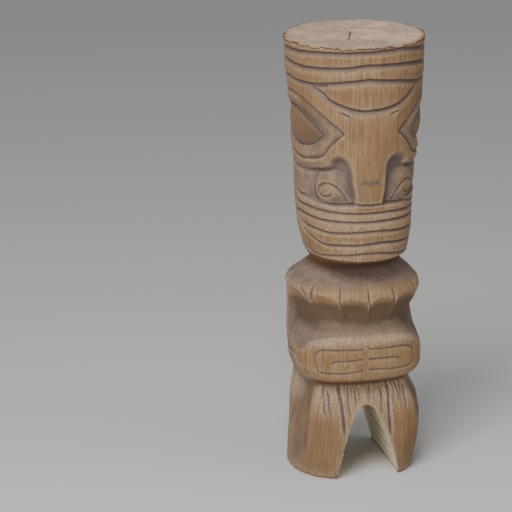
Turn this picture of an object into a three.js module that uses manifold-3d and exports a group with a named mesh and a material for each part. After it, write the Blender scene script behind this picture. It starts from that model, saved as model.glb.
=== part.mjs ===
// Tiki figure carved from one upright log.
// Millimetres, +Z up. The figure faces -Y, and +X is at the right of someone who looks at its face.
// The origin is the middle of the log's axis on the ground, under the feet.
// An angle is measured round the log from the face, in degrees, positive towards +X.
import * as THREE from "three";
import { mergeVertices } from "three/addons/utils/BufferGeometryUtils.js";
import Module from "manifold-3d";

// Driving dimensions of the log and of the main heights on it
const HEIGHT = 952;
const LOG_RADIUS = 150;
const CHIN = 486;
const NECK = 461;
const RIDGE = 396;
const FOREARM_TOP = 308;
const FOREARM_BOTTOM = 222;
const CROTCH = 161;

// Outlines of the rough block, as height and reach from the axis, for the front, the back and the
// sides. The left side is at -X and the right side at +X.
const FRONT = [
  [HEIGHT, 148.5],
  [HEIGHT - 5, 150],
  [700, 150],
  [650, 146],
  [603, 139.5],
  [540, 141],
  [CHIN, 138],
  [CHIN - 6, 124],
  [470, 94],
  [NECK, 64],
  [450, 80],
  [430, 111],
  [416, 126],
  [RIDGE, 131],
  [FOREARM_TOP, 119],
  [240, 122.5],
  [FOREARM_BOTTOM, 120.5],
  [212, 108],
  [202, 88],
  [195, 94],
  [180, 104],
  [140, 119],
  [90, 135],
  [40, 141],
  [0, 138],
];
const BACK = [
  [HEIGHT, 148.5],
  [HEIGHT - 5, 150],
  [690, 149],
  [600, 145],
  [540, 138],
  [515, 128],
  [470, 99],
  [NECK, 94],
  [440, 117],
  [420, 137],
  [400, 142],
  [240, 140],
  [120, 142],
  [40, 139],
  [0, 133],
];
const LEFT = [
  [HEIGHT, 148.5],
  [HEIGHT - 5, 150],
  [880, 147],
  [860, 143.5],
  [800, 141],
  [720, 134],
  [690, 131],
  [600, 126.5],
  [540, 121],
  [490, 109],
  [470, 96],
  [NECK, 94],
  [440, 127],
  [430, 142],
  [420, 147],
  [400, 143],
  [300, 142],
  [240, 138.5],
  [FOREARM_BOTTOM, 131],
  [205, 126],
  [150, 139],
  [60, 144],
  [0, 147],
];
const RIGHT = [
  [HEIGHT, 148.5],
  [HEIGHT - 5, 150],
  [880, 149],
  [860, 146.5],
  [800, 145],
  [740, 139],
  [690, 133],
  [640, 129],
  [600, 124.5],
  [540, 120.5],
  [490, 114],
  [470, 104],
  [NECK, 98],
  [440, 120],
  [420, 139],
  [400, 142],
  [260, 144],
  [230, 142],
  [215, 130],
  [192, 121],
  [150, 138.5],
  [110, 144],
  [60, 138],
  [0, 129],
];
// How square the section is at a height, where 2 is an ellipse
const SQUARENESS = [
  [700, 2],
  [540, 2.1],
  [NECK, 2],
  [RIDGE, 2.3],
  [FOREARM_TOP, 2.6],
  [FOREARM_BOTTOM, 2.6],
  [120, 2.3],
  [0, 2.25],
];

// Bands round the top of the head: the height of each lower edge at the back, and its undercut
const BAND_EDGES = [937, 912, 884];
const BAND_UNDERCUT = 5;
const BAND_SLOPE_HEIGHT = 11;
const BAND_SAG = { depth: 7, angle: 58, spread: 26 };
const BAND_RISE = { height: 1.5, spread: 25 };

// Hollow between the chest and the forearms. Each pair is at the front and at the side.
const CHEST_EDGE = [131, 145];
const CHEST_UNDER_SLOPE = 0.56;
const WAIST = [96, 114];
const FOREARM_SLOPE = [0.85, 0.42];
const FOREARM_DIP = { depth: 31, angle: 76, spread: 21 };
const ARM_INSIDE = { angle: 104, height: 305, lean: 0.115, steepness: 3.2 };

// Nose, cheeks and nostrils
const NOSE_HALF_ANGLE = 14;
const CHEEK = { low: 617, high: 706, depth: 9, back: 92 };
const NOSTRIL = { angle: 33, height: 656, halfWidth: 44, halfHeight: 33, stand: 10 };

// The eye: its outline, the lids of its socket, and how deep the socket goes round the eyeball
const EYE_OUTLINE = [
  [-137, 786], [-120, 815], [-104, 836], [-85, 842], [-67, 836], [-48, 813], [-33, 786],
  [-24, 765], [-33, 746], [-44, 720], [-60, 704], [-80, 702], [-100, 714], [-119, 742],
];
const UPPER_LID = [[-119, 781], [-110, 795], [-91, 811], [-70, 809], [-55, 790], [-41, 757]];
const LOWER_LID = [[-119, 781], [-105, 758], [-88, 735], [-70, 728], [-55, 743], [-41, 757]];
const SOCKET = { upperDepth: 9, lowerDepth: 4, cornerHalf: 1.5, ballShare: 0.9 };
const SOCKET_SLICES = 10;
const SOCKET_STEPS = 4;

// Runs of the cut lines over the forehead, down the mouth and round the hands
const FOREHEAD_LINE = [[-48, 865], [-37, 840], [-20, 822], [0, 818], [20, 823], [36, 843], [50, 865]];
const UPPER_LIP_LINE = [[-92, 627], [-60, 618], [0, 615], [60, 611], [92, 626]];
const MOUTH_LINES = [
  [[-140, 588], [-119, 610], [-60, 600], [0, 596], [60, 594], [119, 610], [140, 588]],
  [[-93, 578], [-65, 580], [0, 577], [65, 576], [93, 578]],
  [[-84, 570], [-60, 558], [0, 555], [60, 558], [84, 570]],
  [[-87, 575], [-70, 540], [-40, 528], [0, 529], [40, 530], [70, 540], [87, 575]],
  [[-144, 527], [-108, 509], [-60, 496], [0, 507], [60, 496], [108, 509], [144, 527]],
];
const HAND_OUTLINE = [
  [-44, 280], [-20, 287], [0, 289], [20, 288], [44, 278], [50, 260],
  [42, 236], [20, 240], [0, 244], [-20, 239], [-42, 236], [-50, 260],
];

// Gap between the legs, an arch that is cut straight through from front to back
const GAP_HALF_WIDTH = 72;

// Cut lines, and how far every cutter stands clear of the surface that it cuts
const HEAVY_LINE = { half: 5, depth: 7 };
const PLAIN_LINE = { half: 3.6, depth: 5 };
const LINE_END_SHARE = 0.35;
const CUTTER_STEP = 28;
const CLEAR = 6;

// Columns of the skin, and how much closer they stand at the face than at the back
const COLUMNS = 40;
const FRONT_CROWDING = 0.28;

const rad = THREE.MathUtils.degToRad;
const lerp = THREE.MathUtils.lerp;
const smooth = THREE.MathUtils.smoothstep;

const wasm = await Module();
wasm.setup();

// Turns one closed geometry into a solid for joining and cutting.
function solid(geometry) {
  const bare = geometry.clone();
  bare.deleteAttribute("normal");
  bare.deleteAttribute("uv");
  const merged = mergeVertices(bare, 1e-3);
  const mesh = new wasm.Mesh({
    numProp: 3,
    vertProperties: merged.attributes.position.array,
    triVerts: new Uint32Array(merged.index.array),
  });
  return new wasm.Manifold(mesh);
}

// The value of an outline at one height, straight between its points.
function along(outline, z) {
  if (z >= outline[0][0]) return outline[0][1];
  const next = outline.findIndex(([height]) => height <= z);
  if (next < 0) return outline.at(-1)[1];
  const [high, above] = outline[next - 1];
  const [low, below] = outline[next];
  return lerp(above, below, (high - z) / (high - low));
}

// Distance from the axis to a rounded section with that reach to the front or back, and to the side.
function sectionRadius(angle, ahead, aside, square) {
  const sine = Math.abs(Math.sin(rad(angle)));
  const cosine = Math.abs(Math.cos(rad(angle)));
  return ((sine / aside) ** square + (cosine / ahead) ** square) ** (-1 / square);
}

function blockRadius(angle, z) {
  const ahead = along(Math.abs(angle) < 90 ? FRONT : BACK, z);
  const aside = along(angle < 0 ? LEFT : RIGHT, z);
  return sectionRadius(angle, ahead, aside, along(SQUARENESS, z));
}

// How far a place is from the front towards the side, from 0 to 1.
function sideShare(angle) {
  return Math.sin(rad(Math.min(Math.abs(angle), 90))) ** 2;
}

function forearmEdge(angle) {
  const fromDip = (Math.abs(angle) - FOREARM_DIP.angle) / FOREARM_DIP.spread;
  return FOREARM_TOP - FOREARM_DIP.depth * Math.exp(-(fromDip ** 2));
}

// The hollow under the chest: its roof is the chest's underside, its floor the forearm's sloping top,
// and its back wall the inner side of the upper arm.
function hollowRadius(angle, z) {
  const outside = blockRadius(angle, z);
  if (z > RIDGE) return outside;
  const share = sideShare(angle);
  const roof = lerp(...CHEST_EDGE, share) - (RIDGE - z) * CHEST_UNDER_SLOPE;
  const floor = outside - (z - forearmEdge(angle)) * lerp(...FOREARM_SLOPE, share);
  const backEdge = ARM_INSIDE.angle + (z - ARM_INSIDE.height) * ARM_INSIDE.lean;
  const wall = outside - ARM_INSIDE.steepness * (backEdge - Math.abs(angle));
  const waist = sectionRadius(Math.min(Math.abs(angle), 90), ...WAIST, 2);
  return Math.min(outside, Math.max(roof, floor, wall, waist));
}

// The bands are laid like weatherboards: each is undercut by the one above it and stands out again
// towards its own lower edge. The lower two sag over the temples.
function bandEdge(index, angle) {
  const fromSag = (Math.abs(angle) - BAND_SAG.angle) / BAND_SAG.spread;
  const sag = BAND_SAG.depth * Math.exp(-(fromSag ** 2));
  const rise = BAND_RISE.height * Math.exp(-((angle / BAND_RISE.spread) ** 2));
  return BAND_EDGES[index] + index * (rise - sag);
}

function bandUndercut(angle, z) {
  const fade = lerp(1, 0.45, smooth(Math.abs(angle), 90, 150));
  const cuts = BAND_EDGES.map((_, index) => {
    const drop = bandEdge(index, angle) - z;
    const inside = drop > 0 && drop < BAND_SLOPE_HEIGHT;
    return inside ? BAND_UNDERCUT * (1 - drop / BAND_SLOPE_HEIGHT) : 0;
  });
  return fade * Math.max(...cuts);
}

// The cheeks are sunk beside the nose, so that the nostrils stand up in them.
function cheekDepth(angle, z) {
  const turn = Math.abs(angle);
  const besideNose = smooth(turn, NOSE_HALF_ANGLE, NOSE_HALF_ANGLE + 8);
  const beforeEar = 1 - smooth(turn, 60, CHEEK.back);
  const aboveLip = smooth(z, CHEEK.low, CHEEK.low + 6);
  const belowEye = 1 - smooth(z, CHEEK.high - 22, CHEEK.high);
  return CHEEK.depth * besideNose * beforeEar * aboveLip * belowEye;
}

function skinRadius(angle, z) {
  return hollowRadius(angle, z) - bandUndercut(angle, z) - cheekDepth(angle, z);
}

function fromAxis(angle, z, radius) {
  return new THREE.Vector3(radius * Math.sin(rad(angle)), -radius * Math.cos(rad(angle)), z);
}

// Rows of the skin from the ground up. Most are level, and those at a band follow its edge.
function skinRows() {
  const level = (z) => () => z;
  const legs = [0, 10, 45, 90, 125, 150, 170, 186, 195, 202, 212, FOREARM_BOTTOM];
  const arms = [240, 268, 280, 290, 300, 308, 318, 328, 338, 350, 365, 381];
  const chest = [RIDGE, 408, 420, 430, 440, 450, NECK, 470];
  const face = [CHIN - 6, CHIN, 515, 540, 570, 603, 617, 624, 650, 684, 706, 740, 775, 805, 835, 860];
  const rows = [...legs, ...arms, ...chest, ...face].map(level);
  const gaps = [-BAND_SLOPE_HEIGHT, -1, 0.5];
  const bands = [2, 1, 0].flatMap((index) => gaps.map((gap) => (angle) => bandEdge(index, angle) + gap));
  return [...rows, ...bands, level(HEIGHT - 5), level(HEIGHT)];
}

// The skin is a lathe form whose points are moved to the skin. Its columns crowd towards the face.
function skin() {
  const rows = skinRows();
  const profile = [new THREE.Vector2(0, 0)];
  rows.forEach((row, index) => profile.push(new THREE.Vector2(1, index)));
  profile.push(new THREE.Vector2(0, rows.length));
  const geometry = new THREE.LatheGeometry(profile, COLUMNS);
  const position = geometry.attributes.position;
  for (let i = 0; i < position.count; i += 1) {
    const row = (i % profile.length) - 1;
    if (row < 0 || row === rows.length) {
      position.setXYZ(i, 0, 0, row < 0 ? 0 : HEIGHT);
      continue;
    }
    const even = Math.atan2(position.getX(i), position.getZ(i));
    const angle = THREE.MathUtils.radToDeg(even - FRONT_CROWDING * Math.sin(even));
    const z = rows[row](angle);
    const place = fromAxis(angle, z, skinRadius(angle, z));
    position.setXYZ(i, place.x, place.y, place.z);
  }
  return solid(geometry);
}

// A closed form from rings of corners that run along it. A ring's corners are counter-clockwise for
// someone who looks back along the form from its end.
function ringForm(rings, closed) {
  const size = rings[0].length;
  const index = [];
  const links = closed ? rings.length : rings.length - 1;
  for (let k = 0; k < links; k += 1) {
    const here = k * size;
    const there = ((k + 1) % rings.length) * size;
    for (let i = 0; i < size; i += 1) {
      const j = (i + 1) % size;
      index.push(here + i, here + j, there + j, here + i, there + j, there + i);
    }
  }
  if (!closed) {
    const last = (rings.length - 1) * size;
    for (let i = 1; i < size - 1; i += 1) {
      index.push(0, i + 1, i, last, last + i, last + i + 1);
    }
  }
  const geometry = new THREE.BufferGeometry();
  geometry.setFromPoints(rings.flat());
  geometry.setIndex(index);
  return solid(geometry);
}

// A smooth run through places on the unrolled skin, each an angle and a height.
function run(places, closed) {
  const points = places.map(([angle, z]) => new THREE.Vector3(rad(angle) * LOG_RADIUS, z, 0));
  return new THREE.CatmullRomCurve3(points, closed, "centripetal");
}

// The two ends of a cutter at a place of the unrolled skin: down in the wood, and clear outside it.
function inWood(point, depth) {
  const angle = THREE.MathUtils.radToDeg(point.x / LOG_RADIUS);
  return fromAxis(angle, point.y, skinRadius(angle, point.y) - depth);
}

function outside(point) {
  const angle = THREE.MathUtils.radToDeg(point.x / LOG_RADIUS);
  return fromAxis(angle, point.y, hollowRadius(angle, point.y) + CLEAR);
}

// A V cutter that follows a run on the skin, and thins out at the ends of an open run.
function lineCutter(places, line, closed = false) {
  const curve = run(places, closed);
  const steps = Math.max(4, Math.round(curve.getLength() / CUTTER_STEP));
  const rings = [];
  for (let k = 0; k < (closed ? steps : steps + 1); k += 1) {
    const point = curve.getPointAt(k / steps);
    const tangent = curve.getTangentAt(k / steps);
    const share = !closed && (k === 0 || k === steps) ? LINE_END_SHARE : 1;
    const depth = line.depth * share;
    const reach = line.half * share * (1 + CLEAR / depth);
    const side = new THREE.Vector3(-tangent.y, tangent.x, 0).multiplyScalar(reach);
    rings.push([inWood(point, depth), outside(point.clone().add(side)), outside(point.clone().sub(side))]);
  }
  return ringForm(rings, closed);
}

// The eye socket between its upper and lower lid, cut down round a rounded eyeball.
function eyeSocket(side) {
  const upper = run(UPPER_LID, false);
  const lower = run(LOWER_LID, false);
  const rings = [];
  for (let k = 0; k <= SOCKET_SLICES; k += 1) {
    const high = upper.getPointAt(k / SOCKET_SLICES);
    const low = lower.getPointAt(k / SOCKET_SLICES);
    high.y += SOCKET.cornerHalf;
    low.y -= SOCKET.cornerHalf;
    const edge = Math.abs((2 * k) / SOCKET_SLICES - 1) ** 3;
    const floor = [];
    for (let step = 0; step <= SOCKET_STEPS; step += 1) {
      const share = step / SOCKET_STEPS;
      const rim = lerp(SOCKET.lowerDepth, SOCKET.upperDepth, share);
      const ball = (1 - edge) * Math.sqrt(4 * share * (1 - share));
      const point = low.clone().lerp(high, share);
      floor.push(inWood(point, rim * (1 - SOCKET.ballShare * ball)));
    }
    rings.push([outside(high), outside(low), ...floor]);
  }
  return side < 0 ? ringForm(rings, false) : mirrored(ringForm(rings, false));
}

function mirrored(form) {
  return form.mirror([1, 0, 0]);
}

// A nostril is a flattened ball that is joined to the cheek.
function nostril(side) {
  const ball = new THREE.SphereGeometry(1, 14, 8);
  const position = ball.attributes.position;
  for (let i = 0; i < position.count; i += 1) {
    const angle = side * NOSTRIL.angle
      + THREE.MathUtils.radToDeg((position.getX(i) * NOSTRIL.halfWidth) / LOG_RADIUS);
    const z = NOSTRIL.height + position.getY(i) * NOSTRIL.halfHeight;
    const radius = blockRadius(side * NOSTRIL.angle, NOSTRIL.height) - CHEEK.depth;
    const off = radius + position.getZ(i) * NOSTRIL.stand;
    position.setXYZ(i, off * Math.sin(rad(angle)), -off * Math.cos(rad(angle)), z);
  }
  return solid(ball);
}

// The gap between the legs: an arch with the curve of a parabola
function legGap() {
  const arch = new THREE.Shape();
  arch.moveTo(-GAP_HALF_WIDTH, -CLEAR);
  arch.lineTo(-GAP_HALF_WIDTH, 0);
  arch.quadraticCurveTo(0, 2 * CROTCH, GAP_HALF_WIDTH, 0);
  arch.lineTo(GAP_HALF_WIDTH, -CLEAR);
  arch.closePath();
  const depth = 2 * (LOG_RADIUS + CLEAR);
  const prism = new THREE.ExtrudeGeometry(arch, { depth, curveSegments: 24, bevelEnabled: false });
  prism.translate(0, 0, -depth / 2);
  prism.rotateX(Math.PI / 2);
  return solid(prism);
}

// Every cut line of the face and the hands. The eye's is repeated on the other side.
function lineCutters() {
  const eye = lineCutter(EYE_OUTLINE, HEAVY_LINE, true);
  return [
    eye,
    mirrored(eye),
    lineCutter(FOREHEAD_LINE, HEAVY_LINE),
    lineCutter(UPPER_LIP_LINE, HEAVY_LINE),
    ...MOUTH_LINES.map((places) => lineCutter(places, PLAIN_LINE)),
    lineCutter(HAND_OUTLINE, PLAIN_LINE, true),
  ];
}

function carvedFigure() {
  let form = skin();
  [-1, 1].forEach((side) => {
    form = form.add(nostril(side));
    form = form.subtract(eyeSocket(side));
  });
  lineCutters().forEach((cutter) => {
    form = form.subtract(cutter);
  });
  form = form.subtract(legGap());
  const mesh = form.getMesh();
  const geometry = new THREE.BufferGeometry();
  geometry.setAttribute("position", new THREE.BufferAttribute(mesh.vertProperties, 3));
  geometry.setIndex(new THREE.BufferAttribute(mesh.triVerts, 1));
  return geometry;
}

const figure = new THREE.Mesh(
  carvedFigure(),
  new THREE.MeshStandardMaterial({ color: 0xa9845f, roughness: 0.75, metalness: 0 }),
);
figure.name = "carved_figure";

const group = new THREE.Group();
group.add(figure);

export default group;
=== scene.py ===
import math

import bpy
import numpy as np
from mathutils import Matrix, Vector
from mathutils.kdtree import KDTree


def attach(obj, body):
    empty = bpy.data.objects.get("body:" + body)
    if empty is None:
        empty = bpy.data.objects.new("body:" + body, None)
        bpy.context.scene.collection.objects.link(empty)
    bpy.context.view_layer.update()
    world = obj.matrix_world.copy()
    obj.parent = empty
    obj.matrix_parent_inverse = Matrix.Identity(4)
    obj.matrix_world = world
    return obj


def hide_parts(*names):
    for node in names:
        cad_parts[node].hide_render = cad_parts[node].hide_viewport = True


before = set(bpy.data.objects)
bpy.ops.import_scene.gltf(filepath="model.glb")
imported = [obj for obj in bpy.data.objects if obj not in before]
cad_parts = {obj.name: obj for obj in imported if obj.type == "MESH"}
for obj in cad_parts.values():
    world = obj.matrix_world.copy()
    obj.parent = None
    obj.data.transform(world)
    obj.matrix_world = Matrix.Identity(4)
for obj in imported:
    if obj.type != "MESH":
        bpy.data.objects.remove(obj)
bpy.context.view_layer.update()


# The camera. It stands well back, a little to the left of the figure's face and above its head,
# and looks down with a long lens. Angles are in degrees, places in metres.
CAMERA_AZIMUTH = -14.504
CAMERA_DISTANCE = 6.241
CAMERA_HEIGHT = 2.3198
CAMERA_TURN = 1.930
CAMERA_PITCH = 16.571
CAMERA_ROLL = -0.439
CAMERA_LENS = 212.42

around = math.radians(CAMERA_AZIMUTH)
bpy.ops.object.camera_add(
    location=(CAMERA_DISTANCE * math.sin(around), -CAMERA_DISTANCE * math.cos(around), CAMERA_HEIGHT)
)
camera = bpy.context.active_object
camera.name = "camera"
heading = Matrix.Rotation(math.radians(CAMERA_AZIMUTH + CAMERA_TURN), 3, "Z")
tilt = Matrix.Rotation(math.radians(90 - CAMERA_PITCH), 3, "X")
roll = Matrix.Rotation(math.radians(CAMERA_ROLL), 3, "Z")
camera.rotation_euler = (heading @ tilt @ roll).to_euler()
camera.data.lens = CAMERA_LENS
camera.data.sensor_width = 36
bpy.context.scene.camera = camera


# The block. One upright log with bark and sapwood off, hewn to the outline of head, neck, body and
# legs, with an arch sawn through between the legs. All the carving is cut into this block.
# Sizes are in millimetres. Angles are in degrees round the log from the face, positive towards +X.
MM = 0.001
HEIGHT = 952
LOG_RADIUS = 150
CHIN = 489
NECK = 461
RIDGE = 396
FOREARM_TOP = 308
FOREARM_BOTTOM = 222
CROTCH = 160
GAP_HALF_WIDTH = 71
GAP_MIDDLE = 1.5
BLOCK_COLUMNS = 180
BLOCK_ROW = 8
VOXEL = 1.6

# Outlines from the ground up, as height and reach from the axis
FRONT = [
    (0, 138), (40, 141), (90, 135), (140, 119), (180, 104), (196, 93), (202, 88), (208, 98), (213, 110),
    (FOREARM_BOTTOM, 120.5), (240, 122.5), (FOREARM_TOP, 119), (RIDGE, 131), (416, 126), (430, 111),
    (450, 80), (NECK, 64), (472, 94), (483, 124), (CHIN, 138), (540, 141), (603, 139.5), (612, 142),
    (650, 146), (700, 150), (HEIGHT, 150),
]
BACK = [
    (0, 133), (40, 139), (120, 142), (240, 140), (400, 142), (420, 137), (440, 117), (NECK, 94),
    (470, 99), (515, 128), (540, 138), (600, 145), (690, 149), (HEIGHT, 150),
]
LEFT = [
    (0, 146), (60, 142), (150, 137), (205, 126), (FOREARM_BOTTOM, 131), (240, 138.5), (300, 142),
    (400, 145), (420, 149), (430, 140.5), (440, 124.5), (450, 113), (NECK, 94), (470, 96), (490, 109),
    (540, 121), (600, 126), (690, 129.5), (720, 133.5), (800, 141), (860, 143.5), (880, 147),
    (HEIGHT, 150),
]
RIGHT = [
    (0, 125), (60, 138.5), (110, 148.5), (150, 142.5), (192, 122), (215, 130), (230, 142), (260, 143.5),
    (300, 141), (400, 142), (420, 139), (440, 120), (450, 108), (NECK, 98), (470, 104), (490, 114),
    (540, 120.5), (600, 124.5), (640, 129), (690, 133), (740, 139), (800, 145), (860, 146.5), (880, 149),
    (HEIGHT, 150),
]
# How square the section is at each height, where 2 is an ellipse
SQUARENESS = [
    (0, 2.25), (120, 2.3), (221, 2.6), (FOREARM_TOP, 2.6), (RIDGE, 2.3), (NECK, 2), (540, 2.1), (700, 2),
]
CORNER_SOFTNESS = 2


def outline_at(outline, z):
    """The reach of an outline at each height, with its corners rounded off a little."""
    heights, reaches = np.array(outline, float).T
    nearby = [np.interp(z + shift * CORNER_SOFTNESS, heights, reaches) for shift in (-1, 0, 1)]
    return np.mean(nearby, axis=0)


def section_radius(angle, ahead, aside, square):
    """How far a section with these reaches is from the axis at an angle."""
    sine = np.abs(np.sin(np.radians(angle)))
    cosine = np.abs(np.cos(np.radians(angle)))
    return ((sine / aside) ** square + (cosine / ahead) ** square) ** (-1 / square)


def capped(value):
    return np.clip(value, 0, 1)


def soft_min(a, b, width):
    """The smaller of the two, rounded off where they are within the width of each other."""
    share = capped(0.5 + 0.5 * (b - a) / width)
    return b * (1 - share) + a * share - width * share * (1 - share)


def soft_max(a, b, width):
    return -soft_min(-a, -b, width)


def ease(value, low, high):
    """0 up to low and 1 from high on, with a soft rise between. It falls where low is the larger."""
    share = capped((value - low) / (high - low))
    return share * share * (3 - 2 * share)


def between(value, start, full, fall, end):
    """1 from full to fall, and eased down to 0 at start and at end."""
    return ease(value, start, full) * (1 - ease(value, fall, end))


# The flank of each thigh is hewn a little flat between a corner in front and a ridge behind it.
THIGH_CORNER = 57
THIGH_RIDGE = 92
THIGH_HOLLOW = 7
THIGH_HOLLOW_SHAPE = 0.7
THIGH_FLAT_FROM_LEFT = 20
THIGH_FLAT_FROM_RIGHT = 60
THIGH_FLAT_RISE = 70
THIGH_FLAT_TOP = (195, 215)


def block_radius(angle, z):
    """The hewn block's radius, before any carving."""
    ahead = np.where(np.abs(angle) < 90, outline_at(FRONT, z), outline_at(BACK, z))
    aside = np.where(angle < 0, outline_at(LEFT, z), outline_at(RIGHT, z))
    radius = section_radius(angle, ahead, aside, outline_at(SQUARENESS, z))
    across = capped((np.abs(angle) - THIGH_CORNER) / (THIGH_RIDGE - THIGH_CORNER))
    flank = np.sin(np.pi * across**THIGH_HOLLOW_SHAPE)
    low = np.where(angle < 0, THIGH_FLAT_FROM_LEFT, THIGH_FLAT_FROM_RIGHT)
    fade = between(z, low, low + THIGH_FLAT_RISE, *THIGH_FLAT_TOP)
    return radius - THIGH_HOLLOW * flank * fade


# The hollow between the chest and the forearms. Its roof is the chest's underside, cut in a row of broad
# scoops that meet in upright crests. Its floor is the forearm's sloping top, and its back wall the inner
# side of the upper arm.
CHEST_EDGE_FRONT = 131
CHEST_EDGE_SIDE = 146
CHEST_UNDER_SLOPE = 0.56
CHEST_LIP = 2
SCOOP_CRESTS = [-180, -118, -91, -57, -27.5, 1.5, 29.5, 57, 91, 118, 180]
SCOOP_DEPTH = 7.5
SCOOP_SHAPE = 0.7
SCOOP_FADE = (335, 375)
SHOULDER_NOTCH = (97, 111)
SHOULDER_NOTCH_RISE = 30
WAIST_FRONT = 95
WAIST_SIDE = 106
FOREARM_SLOPE_FRONT = 0.85
FOREARM_SLOPE_SIDE = 0.55
FOREARM_DIP = 32
FOREARM_DIP_ANGLE = 74
FOREARM_DIP_SPREAD = 24
ARM_INSIDE_ANGLE = 104
ARM_INSIDE_MIDDLE = 305
ARM_INSIDE_LEAN = 0.115
ARM_INSIDE_STEEPNESS = 3.6
HOLLOW_SOFTNESS = 7
ARM_SOFTNESS = 18
RIDGE_SOFTNESS = 3
LEDGE_SOFTNESS = 1
HOLLOW_MIDDLE = 350
HOLLOW_ABOVE_RIDGE = 16


def hollow_radius(angle, z):
    """The block's radius once the hollow between chest and forearms is cut out."""
    turn = np.abs(angle)
    outside = block_radius(angle, z)
    share = np.sin(np.radians(np.minimum(turn, 90))) ** 2
    chest_edge = CHEST_EDGE_FRONT + (CHEST_EDGE_SIDE - CHEST_EDGE_FRONT) * share
    ridge = RIDGE + SHOULDER_NOTCH_RISE * ease(turn, *SHOULDER_NOTCH)
    after = np.clip(np.searchsorted(SCOOP_CRESTS, angle), 1, len(SCOOP_CRESTS) - 1)
    crests = np.array(SCOOP_CRESTS, float)
    within = (angle - crests[after - 1]) / (crests[after] - crests[after - 1])
    scoops = np.sin(np.pi * capped(within)) ** SCOOP_SHAPE
    scoops *= ease(z, *SCOOP_FADE) * (turn < SCOOP_CRESTS[-2])
    roof = chest_edge + CHEST_LIP - (ridge - z) * CHEST_UNDER_SLOPE - SCOOP_DEPTH * scoops
    dip = FOREARM_DIP * np.exp(-(((turn - FOREARM_DIP_ANGLE) / FOREARM_DIP_SPREAD) ** 2))
    slope = FOREARM_SLOPE_FRONT + (FOREARM_SLOPE_SIDE - FOREARM_SLOPE_FRONT) * share
    floor = outside - (z - (FOREARM_TOP - dip)) * slope
    back_edge = ARM_INSIDE_ANGLE + (z - ARM_INSIDE_MIDDLE) * ARM_INSIDE_LEAN
    wall = outside - ARM_INSIDE_STEEPNESS * (back_edge - turn)
    waist = section_radius(np.minimum(turn, 90), WAIST_FRONT, WAIST_SIDE, 2)
    hollow = soft_max(soft_max(roof, floor, HOLLOW_SOFTNESS), waist, HOLLOW_SOFTNESS)
    hollow = soft_max(hollow, wall, ARM_SOFTNESS)
    edge_softness = np.where(z > HOLLOW_MIDDLE, RIDGE_SOFTNESS, LEDGE_SOFTNESS)
    return np.where(z < ridge + HOLLOW_ABOVE_RIDGE, soft_min(outside, hollow, edge_softness), outside)


def read_points(obj):
    """The points of an object's mesh, in millimetres."""
    flat = np.empty(len(obj.data.vertices) * 3, dtype=np.float32)
    obj.data.vertices.foreach_get("co", flat)
    return flat.reshape(-1, 3).astype(float) / MM


def write_points(obj, points):
    obj.data.vertices.foreach_set("co", (points * MM).astype(np.float32).ravel())
    obj.data.update()


bpy.ops.object.select_all(action="DESELECT")
bpy.ops.mesh.primitive_cylinder_add(
    vertices=BLOCK_COLUMNS,
    radius=LOG_RADIUS * MM,
    depth=HEIGHT * MM,
    location=(0, 0, HEIGHT / 2 * MM),
)
figure = bpy.context.active_object
figure.name = "tiki_figure"
bpy.ops.object.transform_apply()
bpy.ops.object.mode_set(mode="EDIT")
for row in np.arange(BLOCK_ROW, HEIGHT - 1, BLOCK_ROW):
    bpy.ops.mesh.select_all(action="SELECT")
    bpy.ops.mesh.bisect(plane_co=(0, 0, row * MM), plane_no=(0, 0, 1))
bpy.ops.object.mode_set(mode="OBJECT")

points = read_points(figure)
angle = np.degrees(np.arctan2(points[:, 0], -points[:, 1]))
scale = hollow_radius(angle, points[:, 2]) / np.hypot(points[:, 0], points[:, 1])
points[:, :2] *= scale[:, None]
write_points(figure, points)

# The arch is sawn out with a cutter whose upper half has the curve of a parabola.
bpy.ops.mesh.primitive_cylinder_add(
    vertices=128, radius=1, depth=3 * LOG_RADIUS * MM, rotation=(math.radians(90), 0, 0)
)
arch = bpy.context.active_object
bpy.ops.object.transform_apply()
points = read_points(arch) * MM
across = points[:, 0].copy()
points[:, 0] = GAP_MIDDLE + across * GAP_HALF_WIDTH
points[:, 1] /= MM
points[:, 2] = np.where(points[:, 2] > 1e-4, CROTCH * (1 - across**2), -10)
write_points(arch, points)
sawing = figure.modifiers.new("sawing", "BOOLEAN")
sawing.operation = "DIFFERENCE"
sawing.solver = "EXACT"
sawing.object = arch
figure.select_set(True)
bpy.context.view_layer.objects.active = figure
bpy.ops.object.modifier_apply(modifier="sawing")
bpy.data.objects.remove(arch)

fine = figure.modifiers.new("fine", "REMESH")
fine.mode = "VOXEL"
fine.voxel_size = VOXEL * MM
bpy.ops.object.modifier_apply(modifier="fine")


# What every carving step works with: each point of the fine mesh by its angle and height, and
# by how far it is round the unrolled log. A side of 1 is the figure's side at -X and -1 the other.
points = read_points(figure)
z = points[:, 2]
from_axis = np.hypot(points[:, 0], points[:, 1])
angle = np.degrees(np.arctan2(points[:, 0], -points[:, 1]))
turn = np.abs(angle)
unrolled = np.column_stack([np.radians(angle) * LOG_RADIUS, z])
skin = hollow_radius(angle, z)
line_depth = np.zeros(len(points))
region_depth = np.zeros(len(points))
BOTH = (1, -1)
RUN_STEP = 4
CARVING_REACH = 40


def mirrored(places, side, shift):
    """The places for side 1. For side -1 their mirror image, turned on by the shift."""
    return [(a * side - shift * min(side, 0), h) for a, h in places]


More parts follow.
